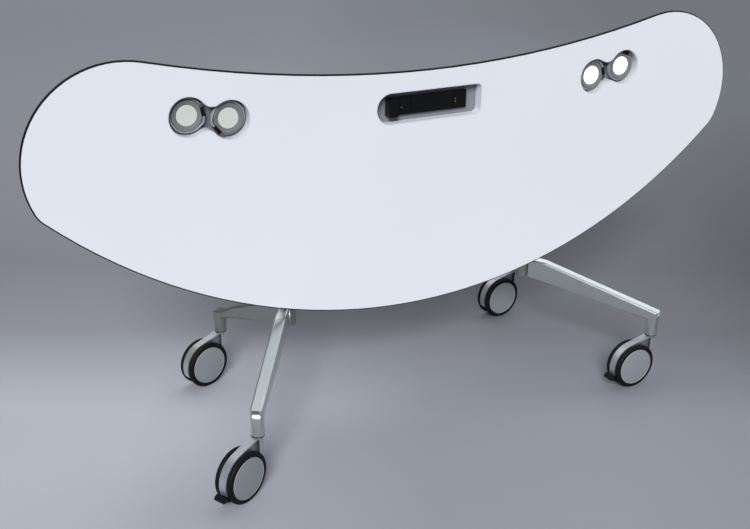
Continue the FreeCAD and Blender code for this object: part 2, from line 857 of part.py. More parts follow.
def tilt_bracket(side):
    """Cast bearing bracket: base plate, ribbed saddle round the cross tube and an ear for the release rod."""
    x = side * bracket_x
    near, far = x - bracket_width / 2, x + bracket_width / 2
    under = panel_thick - pivot_behind_face
    plate = [(under, -52), (under + bracket_plate, -52), (under + bracket_plate, 72), (under, 72)]
    saddle = [(under, -36), (0, -bracket_ring), (0, bracket_ring), (under, 36)]
    ear = [(under, 40), (-rod_toward_face, rod_up - 9), (-rod_toward_face, rod_up + 9), (under, 66)]
    body = [
        side_prism(plate, [0] * 4, x, bracket_width + 24),
        side_prism(saddle, [0] * 4, x, bracket_width),
        along_x(bracket_ring, 0, 0, near, far),
        side_prism(ear, [0] * 4, x, bracket_width - 16),
        along_x(9.0, -rod_toward_face, rod_up, near + 8, far - 8),
    ]
    bracket = fuse(body)
    bracket = bracket.cut(along_x(cross_radius + running_gap, 0, 0, near - 1, far + 1))
    bracket = bracket.cut(along_x(rod_radius + running_gap, -rod_toward_face, rod_up, near - 1, far + 1))
    for place in bracket_screws(side):
        bracket = bracket.cut(cylinder(bracket_screw_radius, place - Y_AXIS, place + Y_AXIS * 20))
    return bracket


def bracket_screws(side):
    reach = bracket_width / 2 + 7
    places = []
    for x in (side * bracket_x - reach, side * bracket_x + reach):
        for up in (-42, 62):
            places.append(Vector(x, face_y + panel_thick, pivot_z + up))
    return places


def flange_screws():
    """Screw places round the flanges of the well liners and the power tray."""
    places = []
    for side in (-1, 1):
        for center, way in ((outer_well, 1), (inner_well, -1)):
            for up in (-1, 1):
                x = side * (center[0] + way * 25)
                places.append(Vector(x, face_y + panel_thick, center[1] + up * 44.5))
    for x in (-70.0, 90.0):
        for z in (slot_low - 4.0, slot_high + 4.0):
            places.append(Vector(x, face_y + panel_thick, z))
    return places


def top_screws():
    """Pan-head screws that hold the brackets, liners and tray to the panel."""
    screws = []
    for side in (-1, 1):
        for place in bracket_screws(side):
            screws.append(pan_screw(place, bracket_plate, bracket_screw_radius, bracket_screw_bite))
    for place in flange_screws():
        screws.append(pan_screw(place, flange_thick, flange_screw_radius, flange_screw_bite))
    return screws


def pan_screw(place, plate, radius, bite):
    shank = cylinder(radius, place - Y_AXIS * bite, place + Y_AXIS * plate)
    head = cylinder(radius * 2, place + Y_AXIS * plate, place + Y_AXIS * (plate + radius * 1.2))
    return fuse([shank, head])


def release_rod():
    return along_x(rod_radius, -rod_toward_face, rod_up, -352, 352)


def latch_pawl(side):
    """Flat pawl on the rod; its round nose rides on the index ring."""
    a = math.radians(nose_lean())
    nose = (nose_from_pivot * math.sin(a), nose_from_pivot * math.cos(a))
    hub = (-rod_toward_face, rod_up)
    x = side * index_x
    near, far = x - 3, x + 3
    way = unit(Vector(nose[0] - hub[0], nose[1] - hub[1], 0))
    across = Vector(-way.y, way.x, 0)
    corners = []
    for (out, up), radius, sign in ((hub, 8.5, 1), (nose, nose_radius, 1), (nose, nose_radius, -1), (hub, 8.5, -1)):
        corners.append((out + across.x * radius * sign, up + across.y * radius * sign))
    body = fuse([
        along_x(8.5, hub[0], hub[1], near, far),
        along_x(nose_radius, nose[0], nose[1], near, far),
        side_prism(corners, [0] * 4, x, 6),
    ])
    return body.cut(along_x(rod_radius, hub[0], hub[1], near - 1, far + 1))


def release_paddle():
    """Moulded paddle on the rod, squeezed towards the worktop to free the latch."""
    hub = (-rod_toward_face, rod_up)
    blade = [(hub[0] - 5, hub[1] + 4), (hub[0] + 8, hub[1] - 2), (paddle_out, paddle_up - 30),
             (paddle_out + 6, paddle_up), (paddle_out, paddle_up), (paddle_out - 6, paddle_up - 28)]
    profile = side_prism(blade, [0, 0, 20, 1.5, 1.5, 20], paddle_x, paddle_width)
    half = paddle_width / 2
    front = [(paddle_x - 16, 40), (paddle_x + 16, 40), (paddle_x + half, 120), (paddle_x + half, paddle_up + 5),
             (paddle_x - half, paddle_up + 5), (paddle_x - half, 120)]
    points = [Vector(x, pivot_y - 60, pivot_z + up) for x, up in front]
    mask = prism(rounded_wire(points, [4, 4, 30, 14, 14, 30]), Y_AXIS * 120)
    barrel = along_x(10.0, hub[0], hub[1], paddle_x - 16, paddle_x + 16)
    bore = along_x(rod_radius, hub[0], hub[1], paddle_x - 30, paddle_x + 30)
    return fuse([profile.common(mask), barrel]).cut(bore)


def release_spring():
    """Torsion spring round the rod, between the right bracket and its pawl."""
    coil = Coil(spring_radius, spring_rise, 0, 0)
    end = 360 * spring_turns + 180
    edges = [line(coil.point(0) - coil.way(0) * spring_leg, coil.point(0))]
    edges += coil.edges(end)
    edges.append(line(coil.point(end), coil.point(end) + coil.way(end) * spring_leg))
    spring = tube_along(edges, edges[0].Vertexes[0].Point, coil.way(0), spring_wire)
    print("release spring least gap", round(least_gap(edges[1:-1], spring_wire), 2))
    spring.rotate(Vector(0, 0, 0), Y_AXIS, 90)
    spring.rotate(Vector(0, 0, 0), X_AXIS, 200)
    spring.translate(Vector(bracket_x + bracket_width / 2 - 6, rod_y, rod_z))
    return spring


# Casters, drawn with the stem on Z and the wheels trailing along -X

def upright_solid(face_edges, width):
    """Solid of even width about the caster's middle plane, from edges drawn at Y = 0."""
    solid = prism(Part.Wire(face_edges), Y_AXIS * width)
    solid.translate(Y_AXIS * (-width / 2))
    return solid


def on_wheel(radius, angle):
    """Point round the axle; the angle runs from straight back, downwards."""
    a = math.radians(angle)
    return axle_place + Vector(-radius * math.cos(a), 0, -radius * math.sin(a))


def plate_tangent(radius, start):
    """Angle at which a straight plate from a point meets a circle round the axle."""
    gap = start - axle_place
    lean = math.degrees(math.atan2(-gap.z, -gap.x))
    return lean + math.degrees(math.acos(radius / gap.Length))


def caster_silhouette(braked):
    """Post, sloping plate, fender and web seen from the side; the lug carries a brake pedal."""
    plate_start = Vector(-11, 0, housing_top)
    meet = plate_tangent(band_radius, plate_start)
    lug = [Vector(-95, 0, 28), Vector(-104, 0, 28)] if braked else []
    points = [plate_start, Vector(post_front, 0, housing_top), Vector(post_front, 0, 106),
              Vector(-44, 0, 46), Vector(-80, 0, 42)]
    points += lug + [on_wheel(band_radius - band_wall, band_end_angle), on_wheel(band_radius, band_end_angle)]
    edges = [line(a, b) for a, b in zip(points, points[1:])]
    edges.append(arc(points[-1], on_wheel(band_radius, (band_end_angle + meet) / 2), on_wheel(band_radius, meet)))
    edges.append(line(on_wheel(band_radius, meet), plate_start))
    return edges


def caster_pocket():
    """Hollow between fender, plate and post, on each side of the web."""
    inner = band_radius - band_wall
    plate_start = Vector(-11, 0, housing_top)
    meet = plate_tangent(band_radius, plate_start)
    tangent = on_wheel(inner, meet)
    way = unit(plate_start - on_wheel(band_radius, meet))
    under_plate = tangent + way * ((post_back - tangent.x) / way.x)
    corners = [axle_place, tangent, under_plate, Vector(post_back, 0, 92)]
    wedge = prism(Part.makePolygon(corners + corners[:1]), Y_AXIS * 40)
    disc = cylinder(inner, axle_place, axle_place + Y_AXIS * 40)
    return wedge.fuse(disc)


def pedal_pivot():
    return on_wheel(pedal_pivot_radius, pedal_pivot_angle)


def caster_housing(braked):
    """One casting: post over the stem pin, plate, fender, web, axle boss and axle."""
    body = upright_solid(caster_silhouette(braked), band_width)
    for way in (-1, 1):
        pocket = caster_pocket()
        pocket.translate(Y_AXIS * (web_thick / 2 if way > 0 else -40 - web_thick / 2))
        body = body.cut(pocket)
    half = band_width / 2
    boss = cylinder(13.0, axle_place - Y_AXIS * half, axle_place + Y_AXIS * half)
    axle = cylinder(axle_radius, axle_place - Y_AXIS * axle_half, axle_place + Y_AXIS * axle_half)
    pieces = [body, boss, axle]
    if braked:
        pivot = pedal_pivot()
        pieces.append(cylinder(5.0, pivot - Y_AXIS * web_thick / 2, pivot + Y_AXIS * web_thick / 2))
        pieces.append(cylinder(pedal_pin_radius, pivot - Y_AXIS * pedal_half, pivot + Y_AXIS * pedal_half))
    housing = fuse(pieces)
    housing = housing.cut(cylinder(stem_pin_radius + running_gap, Vector(0, 0, 103), Vector(0, 0, housing_top + 1)))
    pin_hole = Vector(1, -half - 1, housing_top - 7.6)
    return housing.cut(cylinder(1.8, pin_hole, pin_hole + Y_AXIS * (half - 2)))


def brake_pedal():
    """Fork on the housing's web, with a wide toe behind the tyres."""
    body_points = [on_wheel(45, 38.5), on_wheel(60, 27), on_wheel(66, 25), on_wheel(79, 22.5),
                   on_wheel(wheel_radius + 2.5, 40), on_wheel(60, 60), on_wheel(47, 54)]
    body = prism(rounded_wire(body_points, [0, 3, 3, 2, 6, 4, 0]), Y_AXIS * (2 * pedal_half))
    body.translate(Y_AXIS * -pedal_half)
    toe_points = [on_wheel(65.4, 19), on_wheel(68.1, 15.4), on_wheel(77.8, 18.4), on_wheel(81.2, 22.5),
                  on_wheel(66.2, 27.5)]
    toe = prism(rounded_wire(toe_points, [1, 1, 2, 2, 1]), Y_AXIS * (2 * toe_half))
    toe.translate(Y_AXIS * -toe_half)
    pivot = pedal_pivot()
    slot = cylinder(7.0, pivot - Y_AXIS * 3, pivot + Y_AXIS * 3)
    inner_side = box_between(Vector(-117.5, -3, 20), Vector(-60, 3, 50))
    bore = cylinder(pedal_pin_radius + running_gap, pivot - Y_AXIS * 9, pivot + Y_AXIS * 9)
    return fuse([body, toe]).cut(slot).cut(inner_side).cut(bore)


def spun(profile, way):
    """Solid of revolution about the axle from (radius, distance from the middle plane)."""
    points = [axle_place + Vector(0, way * y, r) for r, y in profile]
    return Part.Face(Part.makePolygon(points + points[:1])).revolve(axle_place, Y_AXIS, 360)


def wheel_disc(way):
    """Moulded wheel: flat outer disc, rim and hub, open towards the fender."""
    bore = axle_radius + running_gap
    hub_side = wheel_inner + 0.2
    rim_side = wheel_inner + 1.0
    behind_face = wheel_outer - 3.3
    cap = axle_half + 0.4
    profile = [(bore, hub_side), (9, hub_side), (9, behind_face), (rim_radius, behind_face), (rim_radius, rim_side),
               (disc_radius, rim_side), (disc_radius, wheel_outer - 0.8), (disc_radius - 0.8, wheel_outer),
               (0, wheel_outer), (0, cap), (bore, cap)]
    return spun(profile, way)


def tyre(way):
    """Tread moulded on the rim, with rounded shoulders."""
    outer = wheel_outer - 0.4
    profile = [(disc_radius, wheel_inner + 0.6), (57.5, wheel_inner), (61.2, wheel_inner + 1.9),
               (wheel_radius, wheel_inner + 4.6), (wheel_radius, outer - 4.6), (61.2, outer - 1.9),
               (57.5, outer), (disc_radius, outer - 0.6)]
    return spun(profile, way)


def to_corner(shape, name):
    x, y, swivel, braked = CASTERS[name]
    placed = shape.copy()
    placed.rotate(Vector(0, 0, 0), Z_AXIS, swivel)
    placed.translate(Vector(x, y, 0))
    return placed


def caster_stems():
    """Stem pins fixed in the legs, each with a thrust collar above the housing."""
    pins = []
    for x, y, swivel, braked in CASTERS.values():
        place = Vector(x, y, 0)
        pin = cylinder(stem_pin_radius, place + Z_AXIS * 105, place + Z_AXIS * 176)
        collar = cylinder(10.0, place + Z_AXIS * (housing_top + 0.3), place + Z_AXIS * stem_low)
        pins.append(fuse([pin, collar]))
    return pins


def write_base():
    for side, name in ((-1, "left"), (1, "right")):
        save("front_arm_" + name, front_arm(side))
        save("rear_arm_" + name, rear_arm(side))
        save("column_" + name, column(side))
        save("column_head_" + name, column_head(side))
    save("cross_tube", cross_tube())
    save("top_buffers", top_buffers())
    save("leg_bolts", leg_bolts())
    save("caster_stems", caster_stems())


def write_casters():
    for name, (x, y, swivel, braked) in CASTERS.items():
        save("caster_housing_" + name, to_corner(caster_housing(braked), name))
        for way, wheel in ((-1, "a"), (1, "b")):
            save("wheel_" + name + "_" + wheel, to_corner(wheel_disc(way), name))
            save("tyre_" + name + "_" + wheel, to_corner(tyre(way), name))
        if braked:
            save("brake_pedal_" + name, to_corner(brake_pedal(), name))


def write_top():
    save("worktop_panel", worktop_panel())
    save("edge_band", edge_band())
    for side, name in ((-1, "left"), (1, "right")):
        save("well_liner_" + name, well_liner(side))
    save("power_tray", power_tray())
    save("power_strip", power_strip())
    save("power_contacts", power_contacts())
    save("tilt_brackets", [tilt_bracket(side) for side in (-1, 1)])
    save("top_screws", top_screws())


def write_release():
    save("release_rod", release_rod())
    save("latch_pawls", [latch_pawl(side) for side in (-1, 1)])
    save("release_paddle", release_paddle())
    save("release_spring", release_spring())


def write_pucks():
    shell, button, lead = puck_shell(), puck_button(), puck_lead()
    print("puck lead least gap", round(least_gap(puck_lead_edges()[1:-1], lead_diameter), 2))
    for name in PUCKS:
        save("puck_shell_" + name, into_well(shell, name))
        save("puck_button_" + name, into_well(button, name))
        save("puck_lead_" + name, [into_well(piece, name) for piece in lead])


os.makedirs("parts", exist_ok=True)
write_base()
write_casters()
write_top()
write_release()
write_pucks()
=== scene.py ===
import json
import math

import bmesh
import bpy
from mathutils import Matrix, Vector

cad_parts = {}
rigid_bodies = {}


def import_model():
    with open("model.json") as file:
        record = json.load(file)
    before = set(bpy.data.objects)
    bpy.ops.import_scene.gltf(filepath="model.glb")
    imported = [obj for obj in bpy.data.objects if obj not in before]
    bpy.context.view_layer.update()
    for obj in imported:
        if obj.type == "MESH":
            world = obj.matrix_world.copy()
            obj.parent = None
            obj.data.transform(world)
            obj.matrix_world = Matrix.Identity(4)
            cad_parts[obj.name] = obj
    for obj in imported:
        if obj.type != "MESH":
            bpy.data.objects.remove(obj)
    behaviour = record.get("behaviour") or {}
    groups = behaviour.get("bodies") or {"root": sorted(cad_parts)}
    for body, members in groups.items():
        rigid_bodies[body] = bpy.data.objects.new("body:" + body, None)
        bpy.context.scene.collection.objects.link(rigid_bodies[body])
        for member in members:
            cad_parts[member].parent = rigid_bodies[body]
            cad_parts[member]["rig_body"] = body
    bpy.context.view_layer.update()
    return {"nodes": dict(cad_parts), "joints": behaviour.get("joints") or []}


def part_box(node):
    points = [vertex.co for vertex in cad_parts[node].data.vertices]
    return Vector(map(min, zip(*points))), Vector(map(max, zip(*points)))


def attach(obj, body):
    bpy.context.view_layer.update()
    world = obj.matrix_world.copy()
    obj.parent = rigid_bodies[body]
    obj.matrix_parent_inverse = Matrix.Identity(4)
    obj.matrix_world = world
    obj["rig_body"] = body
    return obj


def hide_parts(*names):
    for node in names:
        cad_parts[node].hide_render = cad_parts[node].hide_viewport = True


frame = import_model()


# Camera: where the photograph was taken from, in front of the table's left half and above its top edge.
# Its lens and turn are the ones that fit the casters' floor contacts and the worktop's outline.

face_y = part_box("worktop_panel")[0].y
camera_data = bpy.data.cameras.new("photo_camera")
photo_width_pixels = 750
focal_pixels = 1027.7
camera_data.sensor_width = 36.0
camera_data.lens = camera_data.sensor_width * focal_pixels / photo_width_pixels
camera = bpy.data.objects.new("photo_camera", camera_data)
yaw, pitch, roll = math.radians(27.03), math.radians(23.76), math.radians(-0.7)
forward = Vector((math.sin(yaw) * math.cos(pitch), math.cos(yaw) * math.cos(pitch), -math.sin(pitch)))
level = Vector((math.cos(yaw), -math.sin(yaw), 0.0))
down = forward.cross(level)
right = level * math.cos(roll) + down * math.sin(roll)
up = level * math.sin(roll) - down * math.cos(roll)
facing = Matrix((right, up, -forward)).transposed().to_4x4()
camera_place = Vector((-1.2397, -2.1538 + face_y, 1.4366))
camera.matrix_world = Matrix.Translation(camera_place) @ facing
bpy.context.scene.collection.objects.link(camera)
bpy.context.scene.camera = camera
bpy.context.scene.view_settings.view_transform = "Standard"


# Puck leads: a limp grey lead, moulded in soft vinyl, that leaves a boss at each puck's base.
# It winds round the puck for one and three quarter turns and ends in a black plug with a bare metal tip.

class Value:
    """One output socket; arithmetic on it adds Math nodes to its tree."""

    def __init__(self, owner, socket):
        self.owner = owner
        self.socket = socket

    def combine(self, operation, other):
        return self.owner.node("ShaderNodeMath", {"operation": operation}, {0: self, 1: other})

    def __add__(self, other):
        return self.combine("ADD", other)

    def __mul__(self, other):
        return self.combine("MULTIPLY", other)


class Tree:
    """A node tree that is filled one node at a time."""

    def __init__(self, tree):
        self.tree = tree

    def feed(self, socket, value):
        if isinstance(value, Value):
            self.tree.links.new(value.socket, socket)
        else:
            socket.default_value = value

    def node(self, kind, settings, sockets, output=0):
        node = self.tree.nodes.new(kind)
        for name, value in settings.items():
            if name == "stops":
                ramp = node.color_ramp.elements
                while len(ramp) < len(value):
                    ramp.new(0.5)
                for element, (position, color) in zip(ramp, value):
                    element.position = position
                    element.color = color
            else:
                setattr(node, name, value)
        for name, value in sockets.items():
            self.feed(node.inputs[name], value)
        return Value(self, node.outputs[output])


class Finish(Tree):
    """A material with one Principled shader, painted from the piece's own Object coordinates."""

    def __init__(self, name, plain):
        self.material = bpy.data.materials.new(name)
        self.material.use_nodes = True
        super().__init__(self.material.node_tree)
        self.shader = self.tree.nodes["Principled BSDF"]
        for socket, value in plain.items():
            self.shader.inputs[socket].default_value = value
        self.place = self.node("ShaderNodeTexCoord", {}, {}, "Object")

    def noise(self, scale, detail=2.0, stretch=(1.0, 1.0, 1.0)):
        place = self.node("ShaderNodeMapping", {}, {"Vector": self.place, "Scale": stretch})
        return self.node("ShaderNodeTexNoise", {}, {"Vector": place, "Scale": scale, "Detail": detail})

    def blend(self, low, high, factor):
        return self.node("ShaderNodeMix", {"data_type": "RGBA"}, {0: factor, 6: low, 7: high}, 2)

    def paint(self, sockets):
        for name, value in sockets.items():
            self.feed(self.shader.inputs[name], value)

    def emboss(self, height, depth):
        bump = self.node("ShaderNodeBump", {}, {"Height": height, "Distance": depth})
        self.feed(self.shader.inputs["Normal"], bump)


def srgb(red, green, blue):
    """A colour written as it looks on screen, 0 to 255, as Blender's linear colour."""
    parts = []
    for value in (red, green, blue):
        share = value / 255
        parts.append(share / 12.92 if share <= 0.04045 else ((share + 0.055) / 1.055) ** 2.4)
    return (*parts, 1.0)


def moulded_finish(name, dark, light, roughness, grain, depth, gloss=0.5):
    """Moulded plastic: spark-eroded grain, soft cloudiness and slightly uneven gloss."""
    finish = Finish(name, {"Specular IOR Level": gloss})
    cloud = finish.noise(14.0, 3.0)
    speck = finish.noise(grain, 2.0)
    finish.paint({
        "Base Color": finish.blend(dark, light, cloud),
        "Roughness": cloud * 0.12 + speck * 0.08 + (roughness - 0.1),
    })
    finish.emboss(speck, depth)
    return finish.material


def plated_finish(name, color, glint, roughness):
    """Bright plated metal with fine working marks and faint dull patches."""
    finish = Finish(name, {"Metallic": 1.0})
    marks = finish.noise(700.0, 1.0, (0.2, 0.2, 6.0))
    patch = finish.noise(60.0, 2.0)
    finish.paint({
        "Base Color": finish.blend(color, glint, patch * 0.5),
        "Roughness": marks * 0.12 + (roughness - 0.06),
    })
    finish.emboss(marks, 0.00002)
    return finish.material


node_body = {name: node["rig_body"] for name, node in frame["nodes"].items()}


def new_piece(name, data, material):
    data.materials.clear()
    data.materials.append(material)
    piece = bpy.data.objects.new(name, data)
    bpy.context.scene.collection.objects.link(piece)
    return piece


def stands_for(piece, node):
    """The piece moves with the node's body and is shown in its stead."""
    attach(piece, node_body[node])
    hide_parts(node)


def bake_modifiers(piece):
    """The piece's mesh as its modifiers leave it, with the modifiers taken off."""
    graph = bpy.context.evaluated_depsgraph_get()
    mesh = bpy.data.meshes.new_from_object(piece.evaluated_get(graph))
    piece.modifiers.clear()
    piece.data = mesh
    return piece


def rounded_block(name, low, high, rounding, place, material):
    """Box between two corners with rounded edges, set where the matrix says."""
    work = bmesh.new()
    bmesh.ops.create_cube(work, size=1.0)
    middle = (Vector(low) + Vector(high)) / 2
    size = Vector(high) - Vector(low)
    stretch = Matrix.Translation(middle) @ Matrix.Diagonal((*size, 1.0))
    bmesh.ops.transform(work, matrix=stretch, verts=work.verts)
    bmesh.ops.bevel(work, geom=work.edges, offset=rounding, segments=3, profile=0.5, affect="EDGES")
    bmesh.ops.transform(work, matrix=place, verts=work.verts)
    bmesh.ops.recalc_face_normals(work, faces=work.faces)
    mesh = bpy.data.meshes.new(name)
    work.to_mesh(mesh)
    work.free()
    mesh.shade_smooth()
    mesh.set_sharp_from_angle(angle=math.radians(50))
    return new_piece(name, mesh, material)


lead_diameter = 0.005
boss_radius, boss_back, boss_ahead = 0.0382, 0.005, 0.004
coil_radius = 0.0395
coil_start, coil_leave = -334.3, 285.0
coil_first_step, coil_step = 26.0, 28.2
coil_low, coil_rise = -0.0252, 0.0056
turn_in = Vector((0.0268, -0.0303, -0.0142))
plug_x, plug_z = 0.0365, -0.01325
plug_approach, plug_back = -0.0205, -0.0110
plug_low, plug_high, plug_rounding = (0.03225, -0.011, -0.0165), (0.04075, 0.011, -0.010), 0.0012
tip_low, tip_high, tip_rounding = (0.03345, 0.0108, -0.0155), (0.03955, 0.020, -0.011), 0.0005
plug_turns = {"left_outer": 11.0, "left_inner": 219.0, "right_inner": 13.0, "right_outer": 74.0}


def lead_route():
    """Control points in the puck's own frame: out of the boss, round the puck and into the plug."""
    first = math.radians(coil_start)
    ahead = Vector((-math.sin(first), math.cos(first), 0.0))
    begin = Vector((math.cos(first), math.sin(first), 0.0)) * boss_radius + Vector((0.0, 0.0, coil_low))
    points = [begin - ahead * boss_back, begin + ahead * boss_ahead]
    angle = coil_start + coil_first_step
    while angle < coil_leave + 1:
        a = math.radians(angle)
        height = coil_low + coil_rise * (angle - coil_start) / 360
        points.append(Vector((coil_radius * math.cos(a), coil_radius * math.sin(a), height)))
        angle += coil_step
    points.append(turn_in)
    points.append(Vector((plug_x, plug_approach, plug_z)))
    points.append(Vector((plug_x, plug_back, plug_z)))
    return points


lead_grey = moulded_finish("lead_grey", srgb(136, 140, 145), srgb(152, 156, 161), 0.42, 900.0, 0.00003)
black_moulding = moulded_finish("black_moulding", srgb(11, 12, 12), srgb(17, 17, 18), 0.5, 700.0, 0.0001, 0.2)
rosy_tip = plated_finish("rosy_tip", srgb(196, 160, 148), srgb(220, 190, 180), 0.3)
for puck, plug_turn in plug_turns.items():
    low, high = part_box("puck_button_" + puck)
    center = Vector(((low.x + high.x) / 2, face_y, (low.z + high.z) / 2))
    hand = -1.0 if puck.startswith("right") else 1.0
    place = (Matrix.Translation(center) @ Matrix.Rotation(math.radians(90), 4, "X")
             @ Matrix.Rotation(math.radians(plug_turn), 4, "Z") @ Matrix.Diagonal((1.0, hand, 1.0, 1.0)))
    curve = bpy.data.curves.new("lead_" + puck, "CURVE")
    curve.dimensions = "3D"
    route = [place @ point for point in lead_route()]
    spline = curve.splines.new("NURBS")
    spline.points.add(len(route) - 1)
    for knot, point in zip(spline.points, route):
        knot.co = (*point, 1.0)
    spline.order_u = 3
    spline.use_endpoint_u = True
    spline.resolution_u = 6
    curve.bevel_depth = lead_diameter / 2
    curve.bevel_resolution = 4
    curve.use_fill_caps = True
    lead = new_piece("lead_" + puck, curve, lead_grey)
    plug = rounded_block("plug_" + puck, plug_low, plug_high, plug_rounding, place, black_moulding)
    tip = rounded_block("plug_tip_" + puck, tip_low, tip_high, tip_rounding, place, rosy_tip)
    for piece in (lead, plug, tip):
        stands_for(piece, "puck_lead_" + puck)


# Legs: a front and a rear arm on each side, cast in aluminium and blasted to a satin finish.
# The front arm butts against the rear one at the hub, and each arm turns down into a caster stem.
# The front arms, which are the ones in view, take a copy of the casting finish painted brighter than the
# other castings, as painted light.

def cast_finish(name, dark, light, roughness, grain):
    """Satin metal: cloudy tone, fine blasted grain and roughness that drifts with handling."""
    finish = Finish(name, {"Metallic": 1.0})
    cloud = finish.noise(9.0, 3.0)
    speck = finish.noise(grain, 2.0)
    finish.paint({
        "Base Color": finish.blend(dark, light, cloud * 0.7 + speck * 0.3),
        "Roughness": cloud * 0.10 + speck * 0.08 + (roughness - 0.09),
    })
    finish.emboss(speck, 0.00006)
    return finish.material


weld_distance = 4e-6
flat_angle, crease_angle = math.radians(0.4), math.radians(34)


def finished(node, material, bevel=0.0):
    """Welded copy of a CAD node, with eased edges and smooth curves, that stands for it."""
    mesh = frame["nodes"][node].data.copy()
    work = bmesh.new()
    work.from_mesh(mesh)
    bmesh.ops.remove_doubles(work, verts=work.verts, dist=weld_distance)
    bmesh.ops.dissolve_limit(work, angle_limit=flat_angle, verts=work.verts, edges=work.edges)
    work.to_mesh(mesh)
    work.free()
    mesh.shade_smooth()
    mesh.set_sharp_from_angle(angle=crease_angle)
    piece = new_piece(node + "_finished", mesh, material)
    if bevel:
        edge = piece.modifiers.new("eased edge", "BEVEL")
        edge.width = bevel
        edge.segments = 2
        edge.limit_method = "ANGLE"
        edge.angle_limit = crease_angle
        edge.use_clamp_overlap = True
    weighted = piece.modifiers.new("even shading", "WEIGHTED_NORMAL")
    weighted.keep_sharp = True
    bake_modifiers(piece)
    stands_for(piece, node)
    return piece


# Painted light: the front arms' copy is painted brighter than the rest for the light they catch.
bright_casting = cast_finish("bright_casting", srgb(194, 199, 198), srgb(216, 221, 221), 0.34, 1500.0)
satin_casting = cast_finish("satin_casting", srgb(147, 150, 146), srgb(165, 168, 164), 0.38, 1500.0)
for side in ("left", "right"):
    finished("front_arm_" + side, bright_casting)
    finished("rear_arm_" + side, satin_casting)


# Columns: round steel tube welded to a foot plate, in silver powder coat, with a cast head on top.
# The heads carry the cross tube that the worktop turns on; a weld bead runs round each column's foot.
# The tube is drawn a tenth of a millimetre slim, so that its facets clear the brackets that turn on it.

def powder_finish(name, dark, light, roughness, painted_shade_attribute=None):
    """Silver powder coat: fine orange peel and a faint fleck, with painted shade laid in by the named face
    attribute, if one is given.
    """
    finish = Finish(name, {"Metallic": 0.85})
    peel = finish.noise(420.0, 2.0)
    fleck = finish.noise(2600.0, 1.0)
    tone = finish.blend(dark, light, fleck)
    if painted_shade_attribute:
        # Painted shade: the tone is blended toward dark grey as far as the face attribute says.
        depth = finish.node("ShaderNodeAttribute", {"attribute_name": painted_shade_attribute}, {}, "Fac")
        tone = finish.blend(tone, srgb(34, 38, 42), depth)
    finish.paint({
        "Base Color": tone,
        "Roughness": peel * 0.14 + (roughness - 0.07),
    })
    finish.emboss(peel, 0.0001)
    return finish.material


class Recipe(Tree):
    """A Geometry Nodes tree with named sizes, baked into a plain mesh for each piece."""

    def __init__(self, name):
        group = bpy.data.node_groups.new(name, "GeometryNodeTree")
        super().__init__(group)
        group.interface.new_socket("Geometry", in_out="OUTPUT", socket_type="NodeSocketGeometry")
        group.interface.new_socket("Geometry", in_out="INPUT", socket_type="NodeSocketGeometry")
        self.start = group.nodes.new("NodeGroupInput")
        self.end = group.nodes.new("NodeGroupOutput")
        self.inputs = {}

    def size(self, name, kind="NodeSocketFloat"):
        made = self.tree.interface.new_socket(name, in_out="INPUT", socket_type=kind)
        self.inputs[name] = made.identifier
        return Value(self, self.start.outputs[name])

    def points(self):
        return Value(self, self.start.outputs["Geometry"])

    def close(self, geometry):
        whole = self.node("GeometryNodeRealizeInstances", {}, {"Geometry": geometry})
        smooth = self.node("GeometryNodeSetShadeSmooth", {}, {"Geometry": whole})
        material = self.size("Material", "NodeSocketMaterial")
        painted = self.node("GeometryNodeSetMaterial", {}, {"Geometry": smooth, "Material": material})
        self.feed(self.end.inputs["Geometry"], painted)
        return self

    def make(self, name, mesh, material, sizes):
        piece = new_piece(name, mesh, material)
        modifier = piece.modifiers.new("recipe", "NODES")
        modifier.node_group = self.tree
        modifier[self.inputs["Material"]] = material
        for size, value in sizes.items():
            modifier[self.inputs[size]] = value
        return bake_modifiers(piece)


def weld_recipe():
    """Overlapping drops of weld laid round a tube."""
    smallest, largest = 0.8, 1.1
    recipe = Recipe("weld_bead")
    radius, drop, count = recipe.size("Radius"), recipe.size("Drop"), recipe.size("Count", "NodeSocketInt")
    ring = recipe.node("GeometryNodeCurvePrimitiveCircle", {}, {"Resolution": 64, "Radius": radius})
    places = recipe.node("GeometryNodeResampleCurve", {}, {"Curve": ring, "Count": count})
    bead = recipe.node("GeometryNodeMeshIcoSphere", {}, {"Radius": drop, "Subdivisions": 2})
    uneven = recipe.node("FunctionNodeRandomValue", {"data_type": "FLOAT"}, {
        2: smallest, 3: largest, "Seed": 7}, 1)
    beads = recipe.node("GeometryNodeInstanceOnPoints", {}, {
        "Points": places, "Instance": bead, "Scale": uneven})
    return recipe.close(beads)


silver_powder = powder_finish("silver_powder", srgb(170, 173, 177), srgb(192, 195, 199), 0.42)
weld_bead = weld_recipe()
column_x, foot_plate, tube_clearance = 0.363, 0.0062, 0.0001
for side in ("left", "right"):
    finished("column_" + side, silver_powder, 0.0006)
    finished("column_head_" + side, satin_casting, 0.0008)
    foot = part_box("column_" + side)[0].z
    head_low, head_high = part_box("column_head_" + side)
    middle_x = column_x if side == "right" else -column_x
    weld = weld_bead.make("column_weld_" + side, bpy.data.meshes.new("column_weld"), silver_powder, {
        "Radius": 0.0162, "Drop": 0.0022, "Count": 46})
    weld.data.transform(Matrix.Translation((middle_x, (head_low.y + head_high.y) / 2, foot + foot_plate)))
    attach(weld, "base")
cross_tube = finished("cross_tube", silver_powder, 0.0004)
tube_low, tube_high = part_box("cross_tube")
tube_middle = Matrix.Translation((tube_low + tube_high) / 2)
slim = 1 - 2 * tube_clearance / (tube_high.z - tube_low.z)
cross_tube.data.transform(tube_middle @ Matrix.Diagonal((1.0, slim, slim, 1.0)) @ tube_middle.inverted())


# Buffers: rubber stops on the columns; the upright worktop leans on them.
# Moulded in black rubber and screwed through the column wall.

